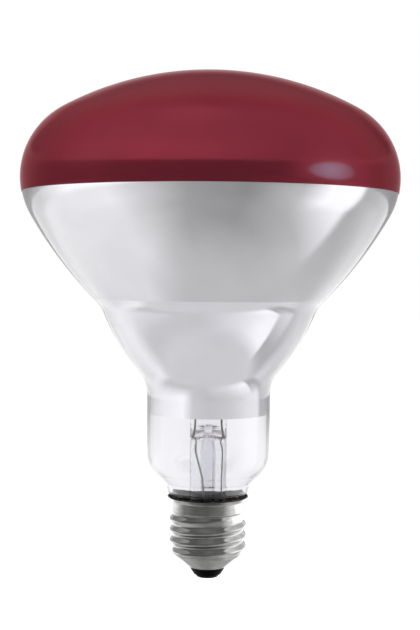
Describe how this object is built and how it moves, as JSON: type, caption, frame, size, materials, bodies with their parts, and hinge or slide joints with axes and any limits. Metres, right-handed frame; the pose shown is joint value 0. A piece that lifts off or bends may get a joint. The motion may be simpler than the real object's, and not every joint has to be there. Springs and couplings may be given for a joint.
{
  "type": "infrared heat lamp bulb",
  "caption": "Blown reflector heat lamp with a red domed front, mirrored flank, clear neck that shows its stem, and a screw cap that turns into a lamp holder.",
  "frame": {"origin": "centre of the flat face of the centre contact, at the very end of the screw cap", "axes": "+Z along the bulb's axis from the contact to the domed front; -Y is the side seen in the picture, and +Y is the side of the solder spot on the rim"},
  "size_m": [0.127, 0.127, 0.1705],
  "materials": {
    "clear_glass": "blown soda-lime glass, fire-polished",
    "red_lacquer": "heat-proof red lacquer, dipped, smooth",
    "aluminium_film": "aluminium film laid from vapour on the inside, satin",
    "cap_metal": "drawn sheet with a rolled thread, bright",
    "black_glass": "moulded black insulating glass, glossy",
    "contact_brass": "pressed brass sheet, satin",
    "solder": "tin solder, smooth and slightly dull",
    "cement": "heat-cured basing cement, matt",
    "lead_wire": "drawn nickel wire, satin",
    "tungsten": "wound tungsten wire, dark satin",
    "molybdenum": "drawn molybdenum wire, satin"
  },
  "bodies": {
    "root": {"glass_envelope": "clear_glass", "stem": "clear_glass", "exhaust_tube": "clear_glass", "ruby_coating": "red_lacquer", "mirror_coating": "aluminium_film", "screw_shell": "cap_metal", "insulator": "black_glass", "centre_contact": "contact_brass", "centre_solder": "solder", "side_solder": "solder", "basing_cement": "cement", "centre_lead": "lead_wire", "side_lead": "lead_wire", "filament": "tungsten", "support_1": "molybdenum", "support_2": "molybdenum", "support_3": "molybdenum", "support_4": "molybdenum", "support_5": "molybdenum"}
  },
  "joints": []
}
